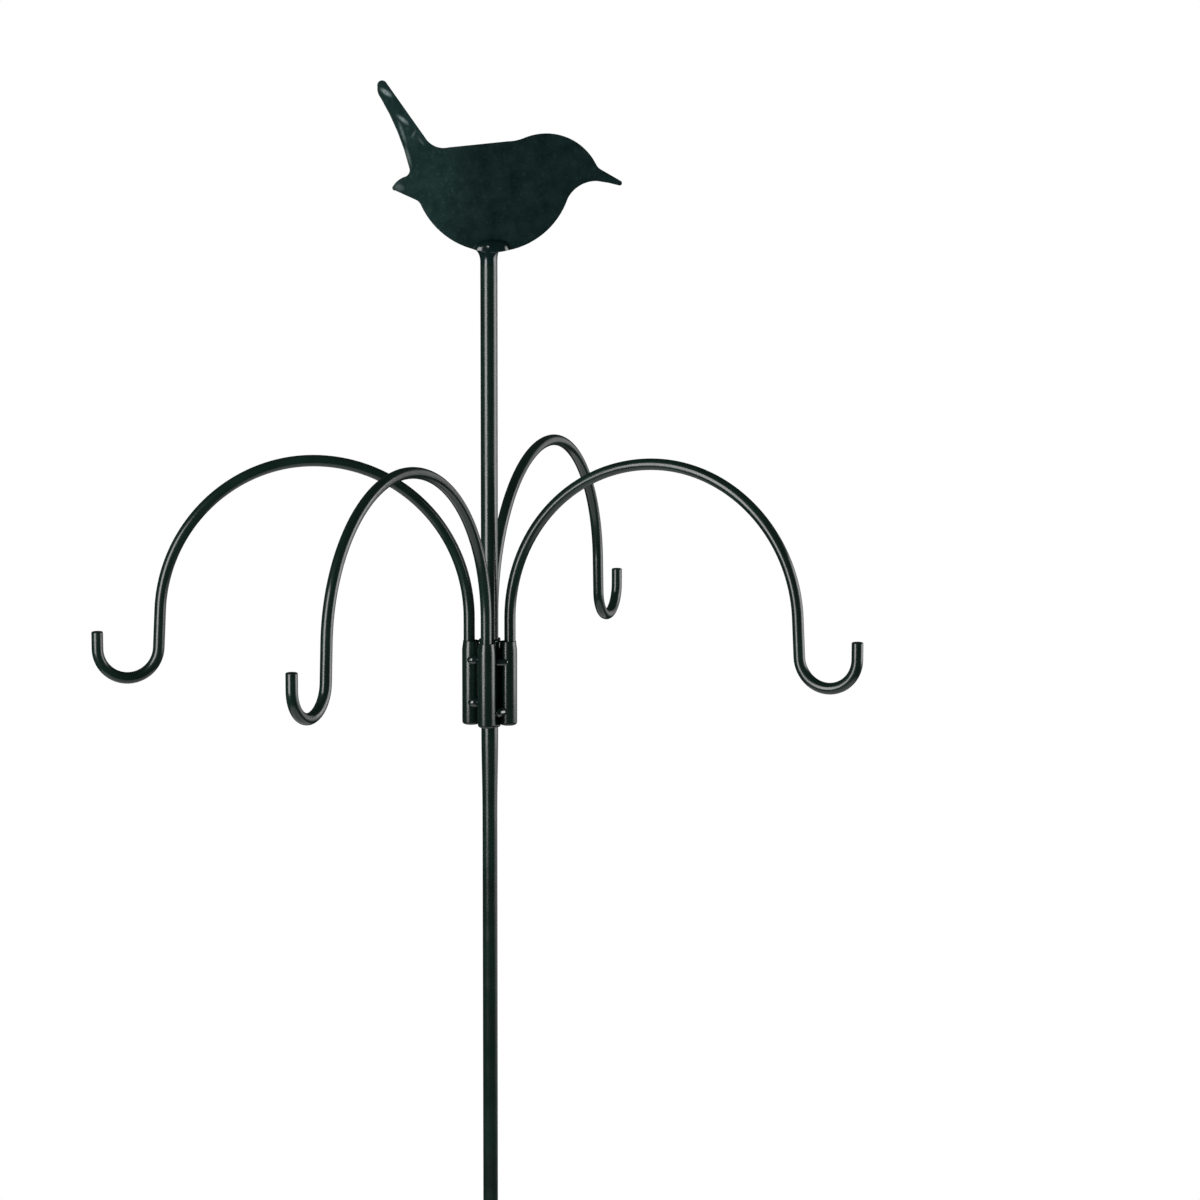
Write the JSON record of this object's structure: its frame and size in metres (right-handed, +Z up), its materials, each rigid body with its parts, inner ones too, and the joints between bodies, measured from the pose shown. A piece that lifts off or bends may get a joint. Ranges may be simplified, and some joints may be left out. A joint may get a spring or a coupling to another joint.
{
  "type": "bird feeder pole",
  "caption": "Sectional garden pole with a flat bird plate on top, a ground spike with a foot rod, and swivelling wire arms whose hooks hold bird feeders.",
  "frame": {"origin": "on the pole axis at ground level, where the spike leaves the lower tube", "axes": "+Z up along the pole, +X along the bird plate towards its beak"},
  "size_m": [0.5242, 0.5154, 2.0719],
  "materials": {
    "gloss_coat": "gloss",
    "satin_coat": "satin"
  },
  "bodies": {
    "ground_section": {"lower_pole": "gloss_coat", "ground_spike": "gloss_coat", "foot_rod": "gloss_coat", "foot_weld": "gloss_coat"},
    "middle_section": {"middle_pole": "gloss_coat"},
    "top_section": {"top_pole": "gloss_coat", "hub_collar": "gloss_coat", "collar_weld_top": "gloss_coat", "collar_weld_bottom": "gloss_coat", "sleeve_right": "gloss_coat", "sleeve_back": "gloss_coat", "sleeve_left": "gloss_coat", "sleeve_front": "gloss_coat", "sleeve_welds": "gloss_coat", "wren_plate": "satin_coat", "wren_weld": "gloss_coat"},
    "arm_right": {"arm_right": "gloss_coat"},
    "arm_back": {"arm_back": "gloss_coat"},
    "arm_left": {"arm_left": "gloss_coat"},
    "arm_front": {"arm_front": "gloss_coat"}
  },
  "joints": [
    {"name": "middle_section_pull", "type": "slide", "parent": "ground_section", "child": "middle_section", "axis": [0, 0, 1], "range_m": [0, 0.045]},
    {"name": "top_section_pull", "type": "slide", "parent": "middle_section", "child": "top_section", "axis": [0, 0, 1], "range_m": [0, 0.045]},
    {"name": "arm_right_swivel", "type": "hinge", "parent": "top_section", "child": "arm_right", "pos_m": [0.01439, -0.00228, 1.4], "axis": [0, 0, 1], "range_deg": [-26.1, 63.9]},
    {"name": "arm_back_swivel", "type": "hinge", "parent": "top_section", "child": "arm_back", "pos_m": [0.00228, 0.01439, 1.4], "axis": [0, 0, 1], "range_deg": [-32.4, 57.6]},
    {"name": "arm_left_swivel", "type": "hinge", "parent": "top_section", "child": "arm_left", "pos_m": [-0.01439, 0.00228, 1.4], "axis": [0, 0, 1], "range_deg": [-69.6, 20.4]},
    {"name": "arm_front_swivel", "type": "hinge", "parent": "top_section", "child": "arm_front", "pos_m": [-0.00228, -0.01439, 1.4], "axis": [0, 0, 1], "range_deg": [-26.1, 63.9]}
  ]
}
